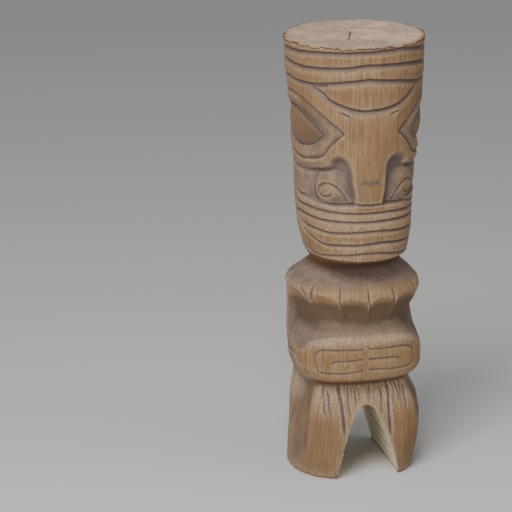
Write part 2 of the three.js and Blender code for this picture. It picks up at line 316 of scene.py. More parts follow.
def run(places, closed=False):
    """A smooth line through places of the unrolled log, each given as angle and height."""
    knots = np.array([(math.radians(a) * LOG_RADIUS, h) for a, h in places])
    if closed:
        knots = np.vstack([knots[-1:], knots, knots[:2]])
    else:
        knots = np.vstack([2 * knots[:1] - knots[1:2], knots, 2 * knots[-1:] - knots[-2:-1]])
    gaps = np.hypot(*np.diff(knots, axis=0).T)
    times = np.concatenate([[0], np.cumsum(gaps)])
    slopes = (knots[2:] - knots[:-2]) / (times[2:] - times[:-2])[:, None]
    pieces = []
    for i in range(1, len(knots) - 2):
        count = max(2, round(gaps[i] / RUN_STEP))
        t = np.linspace(0, 1, count, endpoint=False)[:, None]
        start = (1 + 2 * t) * (1 - t) ** 2 * knots[i] + t * (1 - t) ** 2 * gaps[i] * slopes[i - 1]
        end = t * t * (3 - 2 * t) * knots[i + 1] - t * t * (1 - t) * gaps[i] * slopes[i]
        pieces.append(start + end)
    pieces.append(knots[-2:-1])
    return np.vstack(pieces)


def distance_to(line, places):
    """For each place, its distance to the line, whether it is on the line's left, and how far along."""
    best = np.full(len(places), np.inf)
    left = np.zeros(len(places), dtype=bool)
    along = np.zeros(len(places))
    walked = 0.0
    for a, b in zip(line[:-1], line[1:]):
        step = b - a
        length = math.hypot(*step)
        if length < 1e-6:
            continue
        offset = places - a
        t = capped(offset @ step / length**2)
        gap = np.hypot(offset[:, 0] - t * step[0], offset[:, 1] - t * step[1])
        closer = gap < best
        best[closer] = gap[closer]
        left[closer] = (step[0] * offset[:, 1] - step[1] * offset[:, 0])[closer] > 0
        along[closer] = walked + t[closer] * length
        walked += length
    return best, left, along, walked


def near_run(line, reach):
    """The points by the log's face that are within reach of a line."""
    low = line.min(axis=0) - reach
    high = line.max(axis=0) + reach
    inside_box = np.all((unrolled > low) & (unrolled < high), axis=1)
    return np.flatnonzero(inside_box & (np.abs(skin - from_axis) < CARVING_REACH))


def closeness(places, above, below, shape_above=0.7, shape_below=0.7, taper=14.0, sides=(1,), shift=0.0):
    """How close each point is to a run: 1 on it, and 0 past the widths above and below it, which are at
    its left and right hand. A shape under 1 falls late, as a scoop does, and one over 1 soon."""
    near_it = np.zeros(len(points))
    for side in sides:
        line = run(mirrored(places, side, shift))
        near = near_run(line, max(above, below))
        gap, left, along, length = distance_to(line, unrolled[near])
        over = left == (side > 0)
        share = capped(1 - gap / np.where(over, above, below))
        share **= np.where(over, shape_above, shape_below)
        share *= np.sqrt(capped(np.minimum(along, length - along) / taper))
        near_it[near] = np.maximum(near_it[near], share)
    return near_it


def carve(places, depth, above, below, shape_above=1.6, shape_below=0.8, taper=14.0, sides=(1,), shift=0.0):
    """Cuts a groove along a run, deepest on the run itself."""
    cut = depth * closeness(places, above, below, shape_above, shape_below, taper, sides, shift)
    np.maximum(line_depth, cut, out=line_depth)


def inside_distance(places, side=1, shift=0.0, margin=40.0):
    """For each point of the mesh, how far it is inside a closed outline, less than 0 outside."""
    line = run(mirrored(places, side, shift), True)
    near = near_run(line, margin)
    gap, _, _, _ = distance_to(line, unrolled[near])
    s, h = unrolled[near].T
    inside = np.zeros(len(near), dtype=bool)
    for (s0, h0), (s1, h1) in zip(line[:-1], line[1:]):
        crosses = (h0 > h) != (h1 > h)
        if crosses.any():
            at = s0 + (h - h0) / (h1 - h0 if h1 != h0 else 1) * (s1 - s0)
            inside ^= crosses & (s < at)
    result = np.full(len(points), -margin)
    result[near] = np.where(inside, gap, -gap)
    return result


NOISE_CELLS = 64
NOISE_START = 1000


def noise(places, size, seed):
    """Smooth random numbers from -1 to 1 that change over the given sizes along X, Y and Z."""
    table = np.random.default_rng(seed).uniform(-1, 1, (NOISE_CELLS, NOISE_CELLS, NOISE_CELLS))
    at = places / np.asarray(size, float) + NOISE_START
    cell = np.floor(at).astype(int)
    t = at - cell
    t = t * t * (3 - 2 * t)
    total = np.zeros(len(places))
    for corner in range(8):
        shift = np.array([corner & 1, corner >> 1 & 1, corner >> 2 & 1])
        weight = np.prod(np.where(shift, t, 1 - t), axis=1)
        x, y, h = ((cell + shift) % NOISE_CELLS).T
        total += weight * table[x, y, h]
    return total


def blob(at_angle, at_height, half_angle, half_height):
    """A soft round spot on the log's face, 1 in its middle and 0 outside."""
    far = np.hypot((angle - at_angle) / half_angle, (z - at_height) / half_height)
    return 1 - ease(far, 0.3, 1)


# The crown of the head. Three bands are cut round it like weatherboards, deep at the face and thinner
# behind: each groove has a sharp lip above and a grey scoop below that ends in a crisp edge.
BAND_LINES = [
    [(-180, 937), (-162, 936), (-119, 939), (-89, 936), (-67, 937), (-41, 941), (-14, 943), (13, 945),
     (30, 945), (61, 935), (100, 937), (150, 938), (180, 937)],
    [(-180, 911), (-162, 910.5), (-119, 913), (-89, 910), (-63, 905), (-35, 908), (-18, 911), (-4, 916),
     (9, 915), (21, 914), (35, 912), (63, 904), (100, 910), (150, 912), (180, 911)],
    [(-180, 884), (-163, 883), (-108, 878), (-83, 876), (-70, 872), (-52, 871), (-37, 876), (-17, 882),
     (-2, 886), (12, 882), (29, 877), (51, 867), (70, 871), (90, 876), (120, 881), (180, 884)],
]
BAND_DEPTH_FACE = 6
BAND_DEPTH_BACK = 2.6
BAND_SCOOP = 10
BAND_LIP = 2.6
BAND_SCOOP_SHAPE = 0.5
BAND_LIP_SHAPE = 1.5
BAND_THINS = (70, 125)

behind = ease(turn, *BAND_THINS)
band_depth = BAND_DEPTH_FACE + (BAND_DEPTH_BACK - BAND_DEPTH_FACE) * behind
for places in BAND_LINES:
    at_angle, at_height = np.array(places, float).T
    drop = np.interp(angle, at_angle, at_height) - z
    scoop = np.where(drop > 0, 1 - drop / BAND_SCOOP, 1 + drop / BAND_LIP)
    cut = capped(scoop) ** np.where(drop > 0, BAND_SCOOP_SHAPE, BAND_LIP_SHAPE)
    line_depth = np.maximum(line_depth, band_depth * cut)

# The sawn end above the bands has a torn, splintered rim.
RIM_TEAR = 2.8
RIM_JAGS = 1.9
RIM_STEP = 1.3
RIM_CHAMFER = 0.2
round_rim = np.column_stack([unrolled[:, 0], 0 * z, 0 * z])
tear = noise(round_rim, (12, 1, 1), 11) + 0.8 * noise(round_rim, (5, 1, 1), 12)
above_tear = z - (HEIGHT - RIM_TEAR - RIM_JAGS * tear)
rim_cut = RIM_STEP * ease(above_tear, -0.6, 1.0) + RIM_CHAMFER * np.clip(above_tear, 0, 7)


# The forehead. A full, crescent-shaped panel hangs below the bands with a clear edge all along, and the
# brow comes out from under it as one long wing on each side, with small nicks of the gouge at its root.
BROW_LINE = [
    (-62, 871), (-58, 869), (-53, 865), (-47, 860), (-41, 852), (-37, 844), (-32, 837),
    (-24, 829), (-16.5, 823), (-7, 819), (2, 819.5), (13, 822), (22, 827), (29, 833), (38, 847), (44, 857),
    (51, 865), (57, 869),
]
TEMPLE = [(-57, 868), (-51, 863), (-44.5, 855.5), (-37.5, 845), (-37, 873), (-46, 870.5)]
TEMPLE_DEPTH = 3

carve(BROW_LINE, depth=7.5, above=3, below=14, shape_above=1.2, shape_below=1.4, taper=45)
region_depth = np.maximum(region_depth, TEMPLE_DEPTH * ease(inside_distance(TEMPLE), -1, 6))
carve([(-145.5, 820), (-137, 836), (-128, 851), (-113.5, 870), (-99, 878)],
      depth=2.6, above=2, below=5, shape_below=1.3, sides=BOTH)
carve([(-26, 814.5), (-22, 810.5), (-17.5, 804.5)], depth=3.6, above=5, below=2.4, shape_above=1, taper=7)
carve([(16.5, 807), (21, 810), (25.5, 813)], depth=3.6, above=4, below=2.2, shape_above=1, taper=7)
carve([(-30, 818), (-25, 814), (-21, 809)], depth=1.4, above=4, below=2, taper=7)


# The eyes. Each is a long almond with a rounded ball, sunk deepest under its upper lid, inside two
# raised rings that end in points at the nose and near the back of the head.
EYE_UPPER = [
    (-137, 788), (-129.5, 800), (-123, 813), (-108, 833.5), (-98, 839.5), (-88, 842), (-72, 840),
    (-62, 832), (-52, 821), (-41.5, 805), (-32.5, 789), (-25, 775), (-22, 766),
]
EYE_LOWER = [
    (-137, 786), (-129, 756), (-115, 731), (-101, 714.5), (-86, 704), (-74, 701), (-60, 704), (-48, 710),
    (-40.5, 720), (-36, 736), (-29, 752), (-25.5, 760),
]
EYE_UNDER = [
    (-141, 765), (-137.5, 747.5), (-127.5, 721), (-113.5, 698), (-98.5, 686.5), (-81.5, 681), (-74, 680),
    (-63, 681), (-51, 686), (-39, 690), (-33, 692),
]
SOCKET = [
    (-119, 780), (-112, 795), (-105, 804.5), (-91, 813), (-78, 812), (-65, 799), (-58, 791), (-52, 782),
    (-46, 772), (-41, 763), (-42, 756), (-48, 745), (-53, 737.5), (-61, 731), (-70, 728), (-82, 729),
    (-94, 738), (-105, 755), (-113, 772),
]
EYE_SHIFT = 3
RING_AT_EDGE = 4.5
RING_CREST = 0.36
RING_AT_SOCKET_UPPER = 7
RING_AT_SOCKET_LOWER = 4.5
BALL_EDGE_UPPER = 13
BALL_EDGE_LOWER = 9
BALL_TOP = 0
BALL_ROLL = 12
BALL_ROLL_SHARE = 0.4
SOCKET_MIDDLE = 769
SOCKET_MIDDLE_ANGLE = 78
SOCKET_HALF_HEIGHT = 44
SOCKET_HALF_ANGLE = 42
SHADE_FAR_SIDE = 0.25

carve(EYE_UPPER, depth=2.6, above=8, below=1.8, shape_above=2, sides=BOTH, shift=EYE_SHIFT)
carve(EYE_LOWER, depth=2.4, above=1.8, below=6, shape_below=2, sides=BOTH, shift=EYE_SHIFT)
carve(EYE_UNDER, depth=3.4, above=3, below=9, shape_below=0.5, sides=BOTH, shift=EYE_SHIFT)
carve(EYE_UNDER[5:], depth=6, above=17, below=5, shape_above=1.6, shape_below=1, taper=45, sides=BOTH,
      shift=EYE_SHIFT)
ball_shape = np.zeros(len(points))
ball_shade = np.zeros(len(points))
ring_face = np.zeros(len(points))
for side in BOTH:
    inside = inside_distance(SOCKET, side, EYE_SHIFT)
    ring = inside_distance(EYE_UPPER + EYE_LOWER[::-1], side, EYE_SHIFT)
    rise = (z - SOCKET_MIDDLE) / SOCKET_HALF_HEIGHT
    lift = 0.5 + 0.5 * np.clip(rise, -1, 1)
    edge = BALL_EDGE_LOWER + (BALL_EDGE_UPPER - BALL_EDGE_LOWER) * lift
    off_middle = np.hypot((turn - SOCKET_MIDDLE_ANGLE) / SOCKET_HALF_ANGLE, rise)
    ball = (1 - capped(off_middle) ** 2) ** 0.8
    ball *= 1 - BALL_ROLL_SHARE * (1 - ease(inside, 0, BALL_ROLL))
    socket = (edge + (BALL_TOP - edge) * ball) * ease(inside, -0.8, 1.2)
    from_edge = np.clip(ring, 0, None)
    across = from_edge / np.clip(from_edge + np.clip(-inside, 0, None), 1e-3, None)
    outer = RING_AT_EDGE * capped(1 - across / RING_CREST) ** 1.2 * ease(ring, -0.8, 0.8)
    slope = capped((across - RING_CREST) / (1 - RING_CREST)) ** 1.5
    inner = (RING_AT_SOCKET_LOWER + (RING_AT_SOCKET_UPPER - RING_AT_SOCKET_LOWER) * lift) * slope
    band = np.where(inside < 0, outer + inner, 0)
    ring_face = np.maximum(ring_face, ease(ring, 0, 3) * (inside < 0))
    region_depth = np.maximum(region_depth, np.maximum(socket, band))
    ball_shape = np.maximum(ball_shape, ease(inside, 1, 12))
    shade = between(inside, -5, 0, 3, 15) * (1 if side > 0 else SHADE_FAR_SIDE)
    shade *= 0.3 + 0.7 * np.maximum(lift, ease(turn, 72, 52))
    ball_shade = np.maximum(ball_shade, shade)


# The nose and cheeks. The nose is the log's own face, left flush. Beside it the cheeks are sunk, deepest
# under the inner corners of the eyes, and each nostril stands in its cheek as a full round volute.
CHEEK_SIDE = [
    (-36, 692), (-51, 686), (-63, 681), (-74, 680), (-84, 681), (-92.5, 684), (-92.5, 627), (-81, 621.5),
    (-70, 621), (-59.5, 618), (-49, 614.5), (-35, 613.5), (-24, 615.5),
]
CHEEK_INNER_LEFT = [
    (-14.3, 616), (-15.5, 649), (-17, 671), (-18, 686), (-19.6, 700), (-23, 710), (-27, 713), (-31, 709),
]
CHEEK_INNER_RIGHT = [
    (-13.8, 616), (-14.7, 640), (-15, 670), (-15.5, 697), (-18, 709), (-23, 714), (-29, 713), (-35, 706),
]
CHEEK_DEPTHS = [(14, 11), (24, 13), (34, 12), (45, 10), (57, 8.5), (66, 4.5), (78, 1.4), (93, 1)]
CHEEK_LEAD = [(14, 9), (24, 12), (34, 12), (46, 3), (90, 1)]
CHEEK_RAMP = [(14, 5), (26, 9), (36, 9), (48, 4)]
VOLUTE = [
    (-15.5, 616), (-16.2, 640), (-17.5, 660), (-20, 677), (-25, 686), (-32, 689.5), (-39, 689),
    (-46, 683), (-52, 673), (-55.5, 659), (-56.5, 643), (-54, 627), (-47, 614), (-30, 612),
]
VOLUTE_TOPS = [(15, 7), (22, 4.5), (34, 0.8), (60, 0.5)]
VOLUTE_ROUNDING = 27
SPIRAL = [
    (-34, 636), (-36, 630), (-41, 625.5), (-46, 627), (-50, 636.5), (-48.5, 648), (-44, 656), (-38, 659),
    (-32, 656), (-27, 647), (-22.5, 633), (-19.5, 619),
]

for side, inner in ((1, CHEEK_INNER_LEFT), (-1, CHEEK_INNER_RIGHT)):
    outward = -side * angle
    inside = inside_distance(inner + CHEEK_SIDE, side)
    sunk, lead, ramp = [
        np.interp(outward, *np.array(rows, float).T) for rows in (CHEEK_DEPTHS, CHEEK_LEAD, CHEEK_RAMP)
    ]
    ground = sunk * ease(inside, -lead, ramp)
    mound = inside_distance(VOLUTE, side, 1)
    dome = np.sin(np.pi / 2 * capped(mound / VOLUTE_ROUNDING)) ** 0.8
    top = np.minimum(np.interp(outward, *np.array(VOLUTE_TOPS, float).T), ground)
    region_depth = np.maximum(region_depth, ground + (top - ground) * dome)
carve(SPIRAL, depth=3.4, above=2, below=7, shape_below=0.8, taper=5, sides=BOTH, shift=2)


# The mouth. Six cut lines run across the lower face like a row of slats. The second one turns down
# at the sides as the outline of the jaw, and the middle ones close in a point beside the mouth.
MOUTH_LINES = [
    [(-92, 627), (-81, 621.5), (-70, 621), (-59.5, 618), (-49, 614.5), (-35, 613.5), (-14, 616), (0, 614.5),
     (17, 615.5), (30, 613), (40, 611), (50, 608), (62, 610), (78, 617), (92, 626)],
    [(-160, 487), (-154.5, 515), (-151, 531), (-146.5, 557), (-142, 583), (-132.5, 603), (-119, 610.5),
     (-106.5, 608), (-94, 603.5), (-81, 601), (-60, 600), (-49, 598), (-20, 596), (19, 596), (31, 594),
     (50, 592), (70, 594), (94, 601), (106, 607), (119, 610), (132.5, 603), (142, 583), (146.5, 557),
     (151, 531), (154.5, 515), (160, 487)],
    [(-94, 577), (-81, 581), (-65, 579.5), (-44, 577), (19, 577), (44, 575), (65, 575), (81, 579),
     (94, 577)],
    [(-84, 566), (-66, 556), (-55, 555.5), (-38, 551), (-26, 552), (-9, 555), (7, 556), (19, 554), (31, 551),
     (47, 549), (66, 553), (84, 564)],
    [(-87, 577), (-82, 560), (-73.5, 545), (-63, 536), (-55, 530), (-47, 524.5), (-40, 522.5), (-27, 525),
     (-9, 527), (8, 530), (15, 529.5), (32, 525), (48, 523), (60, 529), (72, 543), (82, 560), (87, 577)],
    [(-144.5, 527), (-126, 516.5), (-108, 509), (-87, 505), (-74, 501.5), (-62, 496.5), (-48, 495.5),
     (-34, 500), (-20, 503), (-5, 507.5), (8, 507), (20, 503), (35, 497.5), (52, 494.5), (74, 499),
     (90, 504), (108, 509), (126, 516.5), (144.5, 527)],
]
MOUTH_DEPTHS = [4.6, 4.0, 4.0, 4.0, 4.4, 3.4]
THINNER_BEHIND = 0.45
THINNER_FROM = (82, 115)
THINNER_BELOW = 640

for places, depth in zip(MOUTH_LINES, MOUTH_DEPTHS):
    carve(places, depth=depth, above=2, below=6.5, shape_below=0.55)
carve([(-94, 577), (-95, 560), (-94.5, 517)], depth=4.5, above=2, below=11, shape_below=1.2, sides=BOTH)
line_depth *= 1 - THINNER_BEHIND * ease(turn, *THINNER_FROM) * (z < THINNER_BELOW)


# The chest. It swells out of the shoulders and is undercut to the waist in scoops. The gouge has left
# notches in its edge, thin slits above the crests of the scoops, and fine strokes down them.
SLITS = [
    [(-27.5, 428), (-27, 403), (-26, 379)],
    [(0.7, 426), (1, 398), (5.5, 362)],
    [(26.5, 420), (26, 404), (30, 381)],
]
NOTCHES = [
    ([(-94, 436), (-89.5, 425), (-85.5, 412), (-83, 398)], 6.5, 9),
    ([(-67, 423), (-62.5, 409), (-57.5, 390)], 4.5, 6),
    ([(-54, 428), (-54.5, 412), (-56, 391)], 5.5, 6),
]
STROKES = [
    [(-35, 398), (-30, 370), (-26, 350)], [(-31, 392), (-27.5, 368), (-24, 346)], [(-12, 380), (-10, 350)],
    [(8, 385), (7, 352)], [(-20, 384), (-17, 348)], [(31, 388), (27, 352)], [(36, 386), (30, 350)],
]

for places in SLITS:
    carve(places, depth=3.6, above=3, below=3, shape_above=0.8, shape_below=0.8, taper=10)
for places, depth, width in NOTCHES:
    carve(places, depth, width, width, shape_above=1.1, shape_below=1, taper=12, sides=BOTH)
for places in STROKES:
    carve(places, depth=1.1, above=2.2, below=3.5, shape_above=1, shape_below=1.2, taper=20)


# The arms and hands. The forearms meet in a flat panel below the chest, where two hands are drawn by
# an outer loop and a middle line each, with a faint seam between them. Two arcs are cut at each elbow.
HAND_LINES = [
    [(-3.4, 286), (-14.5, 287), (-28, 287), (-40, 287), (-46, 284.5), (-49, 278), (-49.6, 262), (-48.6, 246),
     (-46, 239), (-40, 236.8), (-31, 237.4), (-20, 237.8), (-14.5, 239.5), (-3.6, 242)],
    [(-36.5, 258.5), (-33, 263), (-28, 264), (-14.5, 265), (-4, 267)],
    [(0.1, 299), (1.6, 292.5), (5.3, 289), (20, 288.3), (33, 288.6), (43, 285), (48.4, 278.5), (51, 265),
     (51, 250), (47.5, 242), (43, 239), (24.6, 238.8), (11, 241.5), (0.7, 242)],
    [(0.8, 266.5), (15.6, 266.8), (25, 266.4), (31, 265), (34.5, 260.5)],
]
ELBOW_ARCS = [
    [(-123, 225), (-115, 243.5), (-105, 257), (-92, 263), (-78, 259), (-68, 245), (-59, 224)],
    [(-117.5, 226), (-108.5, 240), (-95, 246.5), (-81.5, 244), (-71, 234.5), (-64, 221)],
]
ELBOW_HOLLOW = [
    (-153, 330), (-146, 318), (-139, 304), (-132, 284), (-128, 262), (-127, 224), (-124, 203), (-133, 201),
    (-141, 214), (-144, 235), (-148, 258), (-152, 290),
]
ELBOW_HOLLOW_DEPTH = 8
ELBOW_UNDER = [(-124, 221), (-112, 215), (-91, 213.5), (-66, 214), (-52, 213)]
ELBOW_LINE = [
    (-168, 345), (-158, 350), (-148, 352), (-139, 350.5), (-130.5, 338), (-126.5, 321), (-125.5, 280),
    (-127, 228),
]

for places in HAND_LINES:
    carve(places, depth=2.5, above=1.8, below=4.5, shape_above=1.2, shape_below=0.7, taper=4)
carve([(-1.6, 284), (-1.4, 224)], depth=0.9, above=2.5, below=2.5)
for places in ELBOW_ARCS:
    carve(places, depth=3.2, above=2, below=5, shape_below=0.8, taper=25, sides=BOTH)
carve(ELBOW_UNDER, depth=9, above=3, below=12, shape_above=1, shape_below=1.2, taper=30, sides=BOTH)
carve(ELBOW_LINE, depth=2.8, above=2, below=4, shape_below=1.2, sides=BOTH)
for side in BOTH:
    inside = inside_distance(ELBOW_HOLLOW, side)
    region_depth = np.maximum(region_depth, ELBOW_HOLLOW_DEPTH * ease(inside, -0.5, 12))


# The legs. Gouge cuts of many lengths hang from the waist like a skirt, and a few stray chisel cuts
# and a knot with a fine check below it show at the side.
SKIRT_CUTS = [
    ([(-49, 195), (-46.3, 177), (-43.9, 155), (-41, 133)], 3.2),
    ([(-44, 190), (-41.4, 178), (-37, 139)], 3.4),
    ([(-33.4, 198), (-29.6, 179), (-26.6, 158), (-24, 128), (-22.3, 98)], 6),
    ([(-21.4, 192), (-19.5, 160), (-17, 134)], 3.2), ([(-17.6, 192), (-16.3, 173)], 2.6),
    ([(-12.4, 188), (-10.8, 156)], 3.4), ([(-7.8, 189), (-6.9, 163)], 3), ([(6.7, 192), (5.1, 168)], 3.4),
    ([(2.5, 190), (1.4, 172)], 2.2), ([(11, 185), (11, 157)], 2.8),
    ([(20.3, 185), (18, 160), (16.3, 139)], 3.4),
    ([(31, 196), (27.4, 171), (25.2, 151), (23.9, 126.5), (22.3, 93)], 6),
    ([(36, 196), (33, 160)], 2.4), ([(46.4, 194), (43.5, 180), (40.5, 163)], 3.2),
    ([(49, 187), (45.6, 158), (43, 138)], 3.2), ([(41, 190), (37, 158)], 2.2),
]
CHISEL_CUTS = [
    ([(-124.5, 204), (-118, 189), (-112.5, 177)], 4.2, 5),
    ([(-126, 182), (-119, 175.5), (-112, 167.5)], 3, 3),
    ([(-110, 158), (-104, 184), (-94.5, 209)], 3.6, 4),
    ([(-107.5, 166), (-99.5, 193)], 3, 3.4),
    ([(-82, 94), (-81, 117), (-79.5, 138)], 1.4, 5), ([(-90, 78), (-89, 55), (-90, 34)], 1.8, 1.8),
]
SKIRT_RISE = 10
SKIRT_RIDGE = 5
KNOT = [(-94, 82), (-93.5, 100), (-91, 115), (-87, 128), (-84.5, 137)]
KNOT_DEPTH = 4
SOLE_STEP = 1.6
SOLE_TEAR = 4
SOLE_THINNER = 1.6

skirt_ridges = np.zeros(len(points))
for places, depth in SKIRT_CUTS:
    width = 2.4 + 0.45 * depth
    raised = [(places[0][0], places[0][1] + SKIRT_RISE)] + places
    carve(raised, depth, width, width, shape_above=0.55, shape_below=0.55, taper=16)
    width += SKIRT_RIDGE
    skirt_ridges = np.maximum(skirt_ridges, closeness(raised, width, width, taper=16))
for places, depth, width in CHISEL_CUTS:
    carve(places, depth, width, width, shape_above=1, shape_below=1, taper=8, sides=BOTH)
knot = closeness(KNOT, 13, 12, taper=10)
knot *= capped(0.8 + 0.7 * noise(points, (5, 5, 8), 61))
region_depth += KNOT_DEPTH * knot

# The sole's edge has splintered off along an uneven line.
sole_line = SOLE_TEAR + 1.6 * noise(round_rim, (9, 1, 1), 13)
sole_cut = SOLE_STEP * (1 - ease(z - sole_line, -0.8, 0.6)) * ease(z, -1, 0.5)
sole_cut += 0.5 * np.clip(sole_line - z, 0, 4)


# The surface left by the tools: the block's slow unevenness, long flat facets of the gouge, a rough
# chopped surface on the shoulders and in the sunk ground, and fine ridges of grain.
HEWN_UNEVENNESS = 0.8
FACET_HEIGHT = 0.35
CHOPPED_HEIGHT = 0.7
STROKE_HEIGHT = 0.5
GRAIN_HEIGHT = 0.16
SKIRT_HEIGHT = 1.7
WALL_BLEND = 30
SKIN_REACH = 12
SKIN_REACH_AT_ENDS = 2.5
# The heights where each of these zones starts, is full, falls and ends
SHOULDER_ZONE = (412, 430, 452, 466)
SKIRT_ZONE = (110, 180, 197, 203)
FLANK_ZONE = (0, 70, 200, 212)

carved_depth = line_depth + region_depth
undercut = ease(block_radius(angle, z) - skin, 2, 10)
shoulders = between(z, *SHOULDER_ZONE)
ledge = ease(block_radius(angle, z) - skin, 0.3, 2) * (1 - ease(z, 336, 352)) * (z > 255)
skirt = between(z, *SKIRT_ZONE) * (1 - ease(turn, 50, 60))
elbow_ground = np.maximum(*[inside_distance(ELBOW_HOLLOW, side) for side in BOTH])
arm_inside = undercut * ease(turn, 82, 92) * (1 - ease(z, 405, 420))
rough = np.maximum.reduce([shoulders, ledge, arm_inside, ease(elbow_ground, 0, 5)])
round_log = np.column_stack([unrolled[:, 0], 0 * z, z])
slanted = np.column_stack([unrolled[:, 0] + z, unrolled[:, 0] - z, 0 * z])
tool_marks = HEWN_UNEVENNESS * noise(points, (34, 34, 60), 31)
tool_marks += FACET_HEIGHT * noise(points, (12, 12, 22), 32)
tool_marks += CHOPPED_HEIGHT * rough * noise(points, (7, 7, 5), 33)
tool_marks += CHOPPED_HEIGHT * arm_inside * 1.6 * noise(points, (12, 9, 14), 35)
tool_marks += CHOPPED_HEIGHT * ease(elbow_ground, 0, 5) * noise(slanted, (30, 4, 4), 37)
tool_marks += CHOPPED_HEIGHT * arm_inside * 1.4 * noise(slanted, (34, 6, 5), 39)
tool_marks += STROKE_HEIGHT * undercut * (1 - ledge) * noise(round_log, (4, 1, 60), 36)
tool_marks += SKIRT_HEIGHT * skirt * noise(round_log, (3.6, 1, 34), 38)
tool_marks += GRAIN_HEIGHT * noise(points, (2.4, 2.4, 45), 34)

flank = between(turn, THIGH_CORNER - 2, THIGH_CORNER + 4, 76, THIGH_RIDGE) * between(z, *FLANK_ZONE)
flank *= capped(0.75 + 0.5 * noise(points, (24, 24, 40), 62))
depth_below_skin = skin - from_axis
near_skin = 1 - capped((depth_below_skin - 2) / WALL_BLEND)
target = skin - carved_depth - rim_cut - sole_cut - tool_marks - (1 - ease(z, 925, 945))
target = np.minimum(target, LOG_RADIUS - 0.2)
full_height = (z > CROTCH + 4) & (z < HEIGHT - 6)
on_skin = depth_below_skin < np.where(full_height, SKIN_REACH, SKIN_REACH_AT_ENDS)
new_radius = np.where(on_skin, target, from_axis + (target - skin) * near_skin)
factor = np.where(from_axis < 20, 1, new_radius / np.maximum(from_axis, 1e-6))
points[:, :2] *= factor[:, None]


# The sawn ends and the sawn gap. The top has drying checks that run out from the pith and the
# faint waves of the saw, and the walls between the legs have nearly level marks of the tool.
TOP_CHECKS = [
    ([(-1, 26), (-13, -15), (-28, -62)], 5.5, 2.6), ([(-1, 30), (-9, 88), (-17, 126)], 4.5, 1.9),
    ([(2, 32), (18, 78)], 1.6, 1.6), ([(4, 28), (46, 40)], 1.2, 1.5),
    ([(3, 20), (0, -30), (-3, -68)], 1.6, 1.6), ([(-6, 30), (-52, 44)], 1.4, 1.8),
    ([(5, 22), (40, -14)], 1.2, 1.6),
    ([(-112, 60), (-122, 30), (-124, -4)], 1.0, 1.8), ([(118, 10), (112, -22), (98, -48)], 0.8, 1.6),
]
CHECK_TAPER = 25
SAW_WAVE = 0.25
SAW_ROUGHNESS = 0.3
RIM_WEAR = 0.5
RIM_WEAR_RING = (140, 149)
WALL_MARKS = [
    ([(86, 84), (-50, 74)], 2.4), ([(56, 80), (-68, 63)], 2.2), ([(100, 118), (20, 112), (-40, 114)], 1.8),
    ([(90, 60), (0, 48), (-70, 46)], 1.6), ([(110, 30), (-60, 18)], 1.4), ([(60, 138), (-30, 132)], 1.6),
    ([(70, 100), (-20, 92)], 1.4),
]
WALL_MARK_HALF = 2.2

top = points[:, 2] > HEIGHT - 3
drop = np.zeros(len(points))
for places, depth, half in TOP_CHECKS:
    line = np.array(places, float)
    gap, _, along, length = distance_to(line, points[top][:, :2])
    shape = capped(1 - gap / half) * np.sqrt(capped((length - along) / CHECK_TAPER))
    drop[top] = np.maximum(drop[top], depth * shape)
check = capped(drop / 3)
drop[top] += SAW_WAVE * (1 + noise(points[top], (60, 5, 1), 41))
drop[top] += SAW_ROUGHNESS * (1 + noise(points[top], (14, 14, 1), 42))
drop[top] += RIM_WEAR * ease(np.hypot(*points[top][:, :2].T), *RIM_WEAR_RING) * (1 + tear[top])
points[:, 2] -= drop

gap_wall = (depth_below_skin > 3) & (z < CROTCH + 3) & (z > 1.5)
wall_line = 0.5 * capped(noise(points, (30, 60, 4), 53) - 0.1)
wall_push = 0.6 * noise(points, (40, 30, 6), 51) + 0.3 * noise(points, (20, 12, 2.5), 52)
for places, depth in WALL_MARKS:
    gap, _, _, _ = distance_to(np.array(places, float), points[:, 1:])
    wall_push = np.maximum(wall_push, depth * capped(1 - gap / WALL_MARK_HALF))
    wall_line = np.maximum(wall_line, 0.45 * depth * capped(1.4 - gap / WALL_MARK_HALF))
points[gap_wall, 0] += (np.sign(points[:, 0]) * wall_push * ease(depth_below_skin, 3, 12))[gap_wall]
points[:, 2] = np.clip(points[:, 2], 0, HEIGHT)
write_points(figure, points)

# Where weather, wear and painted shade change the colour. The heights are where each zone starts, is full,
# falls and ends.
LEDGE_WEAR_ZONE = (285, 303, 312, 322)
UNDER_CHEST_ZONE = (316, 332, 384, 398)
UNDER_FOREARM_ZONE = (200, 205, 213, 218)
NECK_ZONE = (446, 462, CHIN - 3, CHIN + 1)

# Paler broken wood along the ledge, on the skirt, beside its cuts and below the elbows
ledge_edge = (skin > block_radius(angle, z) - 7) * (turn < 62)
beside_cuts = skirt_ridges * (1 - capped(line_depth)) * ease(z, 90, 150)
below_elbows = np.maximum(blob(-100, 184, 38, 44), blob(100, 184, 38, 44))
pale = np.maximum.reduce([
    ledge_edge * between(z, *LEDGE_WEAR_ZONE),
    0.25 * ledge * (1 - ease(turn, 30, 65)),
    0.6 * skirt,
    1.3 * beside_cuts,
    0.95 * below_elbows,
    0.15 * shoulders,
])
# Blue-grey stains in the knot, the checks and the cuts of the skirt, and faint ones behind the elbows
behind_elbows = ease(elbow_ground, 0, 8)
stain = np.maximum.reduce([
    0.85 * knot,
    0.9 * check,
    0.15 * behind_elbows,
    0.6 * skirt * capped(line_depth / 2.5),
])
# Greyer and more mauve wood round the neck, inside and behind the arms, on the ledge and the thighs'
# flanks, and in the face's sunk ground
mauve = np.maximum.reduce([
    0.95 * shoulders * ease(z, 418, 436),
    0.9 * arm_inside,
    ledge * (0.35 + 0.5 * ease(turn, 35, 65)),
    0.8 * behind_elbows,
    0.7 * flank,
    0.9 * (z > CHIN) * capped(region_depth / 4) * (1 - ball_shape),
    0.65 * ring_face * (1 - ease(turn, 48, 74)),
    0.5 * ball_shape * ease(turn, 86, 106),
])
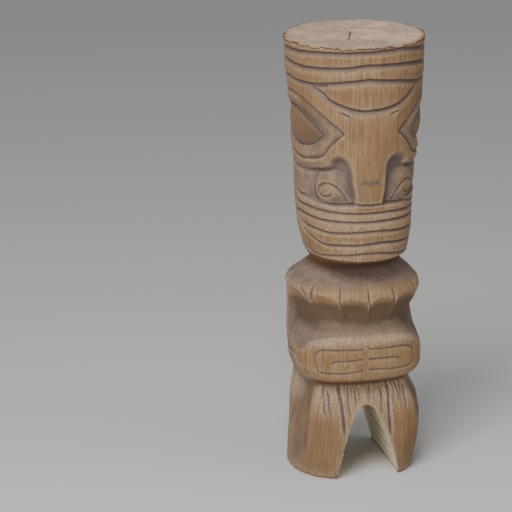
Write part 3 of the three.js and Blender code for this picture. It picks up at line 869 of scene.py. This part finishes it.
# Painted shade, darker and browner, under the chest and the forearms, and in the ball and at the top of the
# ring of the eye at -X
ring_top_shade = ring_face * ease(z, SOCKET_MIDDLE, SOCKET_MIDDLE + 30) * ease(turn, 76, 62)
under = np.maximum.reduce([
    undercut * between(z, *UNDER_CHEST_ZONE) * (1 - 0.5 * ease(turn, 85, 100)),
    0.85 * ball_shape * ease(turn, 90, 50) * (angle < 0),
    0.7 * ring_top_shade * (angle < 0),
    0.7 * ease(z, 192, 204) * (z < 214) * (turn < THIGH_CORNER),
])
lower_leg = (1 - ease(z, 110, 175)) * ease(-angle, 5, 30) * (1 - ease(turn, 60, 80))
# Silvery sides and a rusty brow and crown, and reddish-brown painted shadow in the deep lines under the
# forearms
silvered = ease(turn, 58, 100) * (1 - undercut)
silvered *= 1 - 0.5 * ball_shape * ease(turn, 84, 62)
rusty = np.maximum(ease(z, 934, 941), 0.55 * ease(z, 812, 832))
groove = np.maximum(
    between(z, *UNDER_FOREARM_ZONE) * (1 - ease(turn, 56, 66)),
    closeness(ELBOW_UNDER, 6, 6, taper=30, sides=BOTH),
)

# The fine mesh shows where creases and recesses take painted shade and where edges take pale wear and
# painted highlight, so this is measured on it
# before it is thinned: how far each point lies below or above its smoothed neighbourhood, narrow and wide.
CREASE_ROUNDS = 10
RECESS_ROUNDS = 140
edge_ends = np.empty(len(figure.data.edges) * 2, dtype=np.int32)
figure.data.edges.foreach_get("vertices", edge_ends)
first, second = edge_ends.reshape(-1, 2).T
count = len(points)
neighbours = np.maximum(np.bincount(first, minlength=count) + np.bincount(second, minlength=count), 1)
normals = np.empty(count * 3, dtype=np.float32)
figure.data.vertices.foreach_get("normal", normals)
normals = normals.reshape(-1, 3)


def smoothed(places):
    """Each point moved to the middle of the points that share an edge with it."""
    totals = [
        np.bincount(first, places[second, k], count) + np.bincount(second, places[first, k], count)
        for k in range(3)
    ]
    return np.column_stack(totals) / neighbours[:, None]


relaxed = points.copy()
for step in range(RECESS_ROUNDS):
    relaxed = smoothed(relaxed)
    if step == CREASE_ROUNDS:
        crease = np.sum((relaxed - points) * normals, axis=1)
recess = np.sum((relaxed - points) * normals, axis=1)
fine_points = points.copy()

TRIANGLES = 194000
figure.data.calc_loop_triangles()
thin = figure.modifiers.new("thin", "DECIMATE")
thin.decimate_type = "COLLAPSE"
thin.ratio = min(1, TRIANGLES / len(figure.data.loop_triangles))
bpy.ops.object.modifier_apply(modifier="thin")
points = read_points(figure)
points[:, 2] = np.clip(points[:, 2], 0, HEIGHT)
write_points(figure, points)
bpy.ops.object.shade_smooth()

tree = KDTree(count)
for index, place in enumerate(fine_points):
    tree.insert(place, index)
tree.balance()
nearest = np.array([tree.find(place)[1] for place in points])
# Edges and crests are painted less pale inside the painted shade under the chest and in the eye
out_of_shade = 1 - 0.8 * under
brow_and_crown = ease(z, 812, 840)
# Painted shade: darkest in the creases, grey in the recesses and in the deep sunk ground of the face
crease_shade = capped((crease - 0.3) / 0.9) * (1 - 0.35 * skirt)
sunk = capped((recess - 0.8) / 6) * (1 - 0.6 * ease(elbow_ground, 0, 6))
deep_ground_shade = 0.9 * capped((region_depth - 5) / 7) * (z > CHIN) * (1 - ball_shape)
sole_tear = SOLE_THINNER * (sole_line - z)
masks = {
    "cut": capped(line_depth / 2.4),
    "mauve": mauve,
    "ball": ball_shape,
    # Painted shade in the creases, and dark lines along the tool marks on the gap's walls
    "crease": np.maximum(crease_shade, wall_line * gap_wall),
    # Pale edges: partly wear and partly painted highlight
    "edge": capped((-crease - 0.25) / 0.8) * out_of_shade * (1 - 0.45 * brow_and_crown),
    # Painted shade in the recesses, in the deep sunk ground of the face and under the upper lid, mostly in
    # the eye at -X
    "recess": np.maximum.reduce([sunk, ball_shade, deep_ground_shade]),
    # Painted shade under the chest and the forearms, in the eye at -X and on the thighs' flat flanks, and
    # darker low on the left leg
    "under": np.maximum.reduce([under, 0.85 * flank, 0.4 * lower_leg]),
    # Pale convex crests: partly wear and partly painted highlight
    "crest": capped((-recess - 0.6) / 2.4) * (1 - brow_and_crown) * out_of_shade,
    "rusty": rusty,
    "silvered": silvered,
    # Painted shadow under the chin and in the grooves under the forearms
    "neck_shade": np.maximum(between(z, *NECK_ZONE), groove),
    "pale": pale,
    "stain": stain,
    "rough": rough,
    "end_grain": (z > HEIGHT - 4) * (1 - ease(from_axis, 143, 148)),
    "torn": (z > HEIGHT - 3) * ease(from_axis, 134, 144),
    "above_tear": np.clip(np.maximum(above_tear, sole_tear), -9, 9),
    "gap_wall": gap_wall * ease(depth_below_skin, 2, 6),
}
for name, values in masks.items():
    attribute = figure.data.attributes.new(name, "FLOAT", "POINT")
    attribute.data.foreach_set("value", values[nearest].astype(np.float32))


# The wood. Golden to orange-brown heartwood, bare and weathered, with close upright grain. What the gouge
# has cut is greyer and more mauve, creases and recesses are darkened as painted shade, edges are pale with
# wear and painted highlight, the walls of the gap are painted pale as painted light, and the ends are paler.
# The grain is drawn on the log's round face, so that it runs upright over every slope of the carving.
def plug(tree, value, socket):
    if isinstance(value, (int, float, tuple)):
        socket.default_value = value
    else:
        tree.links.new(value, socket)


def calculate(tree, operation, a, b):
    node = tree.nodes.new("ShaderNodeMath")
    node.operation = operation
    node.use_clamp = True
    plug(tree, a, node.inputs[0])
    plug(tree, b, node.inputs[1])
    return node.outputs[0]


def vector_math(tree, operation, a, b=(0, 0, 0)):
    node = tree.nodes.new("ShaderNodeVectorMath")
    node.operation = operation
    plug(tree, a, node.inputs[0])
    plug(tree, b, node.inputs[1])
    return node.outputs["Vector"]


def stretched_noise(tree, vector, scale, detail, rough):
    """Noise with its own scale along each axis, in repeats to the metre."""
    mapping = tree.nodes.new("ShaderNodeMapping")
    mapping.inputs["Scale"].default_value = scale
    tree.links.new(vector, mapping.inputs["Vector"])
    node = tree.nodes.new("ShaderNodeTexNoise")
    for name, value in (("Scale", 1), ("Detail", detail), ("Roughness", rough)):
        node.inputs[name].default_value = value
    tree.links.new(mapping.outputs["Vector"], node.inputs["Vector"])
    return node.outputs["Fac"]


def spread(tree, value, low, high):
    """0 up to low and 1 from high on, or the other way round where low is the larger."""
    node = tree.nodes.new("ShaderNodeMapRange")
    node.interpolation_type = "SMOOTHSTEP"
    node.inputs["From Min"].default_value = low
    node.inputs["From Max"].default_value = high
    tree.links.new(value, node.inputs["Value"])
    return node.outputs["Result"]


def length_of(tree, vector):
    node = tree.nodes.new("ShaderNodeVectorMath")
    node.operation = "LENGTH"
    tree.links.new(vector, node.inputs[0])
    return node.outputs["Value"]


def mix(tree, factor, a, b):
    node = tree.nodes.new("ShaderNodeMix")
    node.data_type = "RGBA"
    for index, value in ((0, factor), (6, a), (7, b)):
        plug(tree, value, node.inputs[index])
    return node.outputs[2]


FINE_GRAIN = (520, 520, 9)
BROAD_GRAIN = (150, 150, 5)
FLECK_GRAIN = (600, 600, 90)
SPECKLE_GRAIN = (280, 280, 280)
FACE_PATCHES = (9, 9, 7)
BLOTCHES = (42, 42, 18)
GRAIN_PARTS = ("Dark", "Light", "Broad", "Fleck", "Speckle", "Patch", "Blotch", "Height")
grain = bpy.data.node_groups.new("weathered_grain", "ShaderNodeTree")
grain.interface.new_socket("Vector", in_out="INPUT", socket_type="NodeSocketVector")
for part in GRAIN_PARTS:
    grain.interface.new_socket(part, in_out="OUTPUT", socket_type="NodeSocketFloat")
grain_in = grain.nodes.new("NodeGroupInput")
grain_out = grain.nodes.new("NodeGroupOutput")
place = grain_in.outputs["Vector"]
around = vector_math(grain, "NORMALIZE", vector_math(grain, "MULTIPLY", place, (1, 1, 0)))
around = vector_math(grain, "MULTIPLY", around, (LOG_RADIUS * MM, LOG_RADIUS * MM, 0))
upright = vector_math(grain, "ADD", around, vector_math(grain, "MULTIPLY", place, (0, 0, 1)))
streak = stretched_noise(grain, upright, FINE_GRAIN, 3, 0.6)
broad = stretched_noise(grain, upright, BROAD_GRAIN, 2, 0.5)
fleck = stretched_noise(grain, upright, FLECK_GRAIN, 2, 0.5)
speckle = stretched_noise(grain, place, SPECKLE_GRAIN, 4, 0.75)
patch = stretched_noise(grain, place, FACE_PATCHES, 3, 0.6)
blotch = stretched_noise(grain, place, BLOTCHES, 3, 0.6)
for part, field, low, high in (
    ("Dark", streak, 0.52, 0.62),
    ("Light", streak, 0.47, 0.39),
    ("Broad", broad, 0.42, 0.66),
    ("Fleck", fleck, 0.57, 0.67),
    ("Speckle", speckle, 0.45, 0.62),
    ("Patch", patch, 0.36, 0.64),
    ("Blotch", blotch, 0.42, 0.64),
):
    grain.links.new(spread(grain, field, low, high), grain_out.inputs[part])
grain.links.new(streak, grain_out.inputs["Height"])

WOOD_GOLD = (0.28, 0.168, 0.072, 1)
WOOD_BROWN = (0.226, 0.122, 0.051, 1)
WOOD_RUSTY = (0.225, 0.105, 0.042, 1)
WOOD_DARK = (0.115, 0.066, 0.034, 1)
WOOD_LIGHT = (0.42, 0.29, 0.152, 1)
CUT_MAUVE = (0.19, 0.134, 0.112, 1)
# Painted shade under the chest and the forearms, in the eye at -X and on the thighs' flanks
UNDER_SHADE_BROWN = (0.098, 0.06, 0.03, 1)
WOOD_MAUVE = (0.215, 0.155, 0.13, 1)
WOOD_SILVER = (0.29, 0.205, 0.145, 1)
MAUVE_DARK = (0.13, 0.092, 0.08, 1)
BALL_BROWN = (0.18, 0.098, 0.045, 1)
# Painted shade in the recesses, and the grey specks of the rough chopped wood
GREY_SHADE_AND_ROUGH_SPECK = (0.115, 0.082, 0.068, 1)
# Painted shade in the creases, and the dark line along each tear
CREASE_SHADE_AND_TEAR_LINE = (0.055, 0.028, 0.018, 1)
# Pale worn and torn wood, and the painted highlight on edges and crests
PALE_WEAR_AND_HIGHLIGHT = (0.49, 0.365, 0.245, 1)
TORN_ORANGE = (0.37, 0.205, 0.105, 1)
END_PALE = (0.8, 0.56, 0.385, 1)
END_MAUVE = (0.39, 0.28, 0.215, 1)
# Painted light: the gap's walls get a far paler colour to stand in for light that hardly reaches between the
# legs
GAP_GREY_PAINTED_LIGHT = (0.8, 0.72, 0.52, 1)
GAP_DARK = (0.15, 0.12, 0.08, 1)
STAIN_BLUE = (0.09, 0.075, 0.078, 1)
# Painted shadow under the chin and in the grooves under the forearms
NECK_SHADE_BROWN = (0.11, 0.036, 0.012, 1)
WOOD_ROUGHNESS = 0.75
GRAIN_BUMP = 0.6
GRAIN_BUMP_DEPTH = 0.8
# The torn ring round the top starts and is full at these distances from the pith, in metres.
RIM_RING = (0.14, 0.147)
# Blue-grey spots low on the nose, as their middles and half sizes in metres
NOSE_STAINS = [
    ((-0.013, -0.146, 0.663), (0.009, 0.05, 0.006)),
    ((-0.0005, -0.146, 0.6615), (0.0085, 0.05, 0.008)),
    ((0.0115, -0.146, 0.664), (0.008, 0.05, 0.0075)),
]

wood = bpy.data.materials.new("carved_wood")
wood.use_nodes = True
nodes = wood.node_tree
shader = nodes.nodes["Principled BSDF"]
coordinates = nodes.nodes.new("ShaderNodeTexCoord").outputs["Object"]


def mask(name):
    node = nodes.nodes.new("ShaderNodeAttribute")
    node.attribute_name = name
    return node.outputs["Fac"]


def times(a, b):
    return calculate(nodes, "MULTIPLY", a, b)


def speckled(least, more):
    """A strength that goes up from the least where the wood is speckled."""
    return calculate(nodes, "ADD", least, times(grains["Speckle"], more))


def spot(middle, half):
    """A soft spot of the given half sizes."""
    offset = vector_math(nodes, "SUBTRACT", coordinates, middle)
    return spread(nodes, length_of(nodes, vector_math(nodes, "DIVIDE", offset, half)), 1.15, 0.55)


grain_node = nodes.nodes.new("ShaderNodeGroup")
grain_node.node_tree = grain
nodes.links.new(coordinates, grain_node.inputs["Vector"])
grains = grain_node.outputs

# The torn wood of the rims, and the dark line along each tear
torn_colour = mix(nodes, times(grains["Speckle"], 0.6), TORN_ORANGE, PALE_WEAR_AND_HIGHLIGHT)
torn = calculate(nodes, "MAXIMUM", mask("torn"), spread(nodes, mask("above_tear"), -0.5, 0.5))
tear_edge = nodes.nodes.new("ShaderNodeMath")
tear_edge.operation = "ABSOLUTE"
nodes.links.new(mask("above_tear"), tear_edge.inputs[0])
tear_line = spread(nodes, tear_edge.outputs[0], 2.2, 0.9)

# The sawn top, which turns ragged and torn towards its rim
ragged = calculate(
    nodes,
    "ADD",
    length_of(nodes, vector_math(nodes, "MULTIPLY", coordinates, (1, 1, 0))),
    times(grains["Speckle"], 0.006),
)
end_colour = mix(nodes, grains["Patch"], END_PALE, END_MAUVE)
for share in (speckled(0, 0.6), times(grains["Dark"], 0.25), times(grains["Blotch"], 0.7)):
    end_colour = mix(nodes, share, end_colour, END_MAUVE)
end_colour = mix(nodes, times(spread(nodes, ragged, *RIM_RING), 0.9), end_colour, torn_colour)

# The walls of the gap, painted far paler than the wood as painted light where the lamps hardly reach,
# darkened by painted shade in their creases and by dark lines along the tool marks
wall_dark = calculate(nodes, "ADD", times(grains["Speckle"], 0.25), times(mask("crease"), 0.8))
wall_colour_painted_light = mix(nodes, wall_dark, GAP_GREY_PAINTED_LIGHT, GAP_DARK)

# The tints in the order in which they are laid over the wood: what each follows, its strength and colour
tints = [
    (grains["Blotch"], 0.4, WOOD_RUSTY),
    (mask("rusty"), 0.6, WOOD_RUSTY),
    (mask("silvered"), 0.6, WOOD_SILVER),
    (grains["Broad"], 0.22, WOOD_DARK),
    (grains["Dark"], 0.44, WOOD_DARK),
    (grains["Light"], 0.38, WOOD_LIGHT),
    (mask("ball"), 0.55, BALL_BROWN),
    (mask("mauve"), 0.85, mix(nodes, grains["Blotch"], WOOD_MAUVE, MAUVE_DARK)),
    # Painted shade under the chest and the forearms, in the eye at -X and on the flanks
    (mask("under"), 0.88, UNDER_SHADE_BROWN),
    (mask("cut"), 0.85, CUT_MAUVE),
    (grains["Fleck"], 0.6, WOOD_DARK),
    # Painted shade in the recesses
    (mask("recess"), 0.75, GREY_SHADE_AND_ROUGH_SPECK),
    # Painted shadow under the chin and in the grooves under the forearms
    (mask("neck_shade"), 0.75, NECK_SHADE_BROWN),
    (times(mask("rough"), 0.75), grains["Speckle"], GREY_SHADE_AND_ROUGH_SPECK),
    (mask("pale"), speckled(0.2, 0.7), PALE_WEAR_AND_HIGHLIGHT),
    # Pale crests: partly wear and partly painted highlight
    (mask("crest"), speckled(0, 0.24), PALE_WEAR_AND_HIGHLIGHT),
    # Painted shade in the creases
    (mask("crease"), 0.65, CREASE_SHADE_AND_TEAR_LINE),
    # Pale edges: partly wear and partly painted highlight
    (mask("edge"), speckled(0.2, 0.5), PALE_WEAR_AND_HIGHLIGHT),
    # The gap's walls, with painted light
    (mask("gap_wall"), 0.9, wall_colour_painted_light),
    (torn, calculate(nodes, "SUBTRACT", 0.9, mask("crease")), torn_colour),
    (tear_line, 0.92, CREASE_SHADE_AND_TEAR_LINE),
    (mask("end_grain"), 0.92, end_colour),
    (mask("stain"), 0.75, STAIN_BLUE),
]
for middle, half in NOSE_STAINS:
    tints.append((spot(middle, half), speckled(0.55, 0.45), STAIN_BLUE))
colour = mix(nodes, grains["Patch"], WOOD_GOLD, WOOD_BROWN)
for place, strength, tint in tints:
    colour = mix(nodes, times(place, strength), colour, tint)
nodes.links.new(colour, shader.inputs["Base Color"])
shader.inputs["Roughness"].default_value = WOOD_ROUGHNESS
bump = nodes.nodes.new("ShaderNodeBump")
bump.inputs["Strength"].default_value = GRAIN_BUMP
bump.inputs["Distance"].default_value = GRAIN_BUMP_DEPTH * MM
height = calculate(nodes, "ADD", grains["Height"], times(times(mask("rough"), grains["Speckle"]), 0.6))
nodes.links.new(height, bump.inputs["Height"])
nodes.links.new(bump.outputs["Normal"], shader.inputs["Normal"])
figure.data.materials.clear()
figure.data.materials.append(wood)

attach(figure, "root")
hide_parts("carved_figure")


# The floor and the light of the studio. A wide pale floor, one soft light high in front, a weaker one
# at the side, and a pale sky all round.
FLOOR_HALF = 20
bpy.ops.mesh.primitive_plane_add(size=2 * FLOOR_HALF, location=(0, 0, 0))
floor = bpy.context.active_object
floor.name = "floor"
pale_floor = bpy.data.materials.new("pale_floor")
pale_floor.use_nodes = True
floor_shader = pale_floor.node_tree.nodes["Principled BSDF"]
floor_shader.inputs["Base Color"].default_value = (0.62, 0.61, 0.60, 1)
floor_shader.inputs["Roughness"].default_value = 0.9
floor.data.materials.append(pale_floor)


def area_light(name, place, target, size, power):
    bpy.ops.object.light_add(type="AREA", location=place)
    light = bpy.context.active_object
    light.name = name
    light.data.size = size
    light.data.energy = power
    light.rotation_euler = (Vector(place) - Vector(target)).to_track_quat("Z", "Y").to_euler()


area_light("key_light", (-1.3, -2.0, 3.9), (0, 0, 0.5), 2.0, 140)
area_light("left_light", (-2.2, -2.6, 0.9), (0, 0, 0.4), 1.6, 54)
area_light("right_light", (2.6, -1.6, 1.8), (0, 0, 0.5), 2.0, 18)
world = bpy.data.worlds.new("studio")
world.use_nodes = True
sky = world.node_tree.nodes["Background"]
sky.inputs["Color"].default_value = (0.92, 0.93, 0.95, 1)
sky.inputs["Strength"].default_value = 0.32
bpy.context.scene.world = world
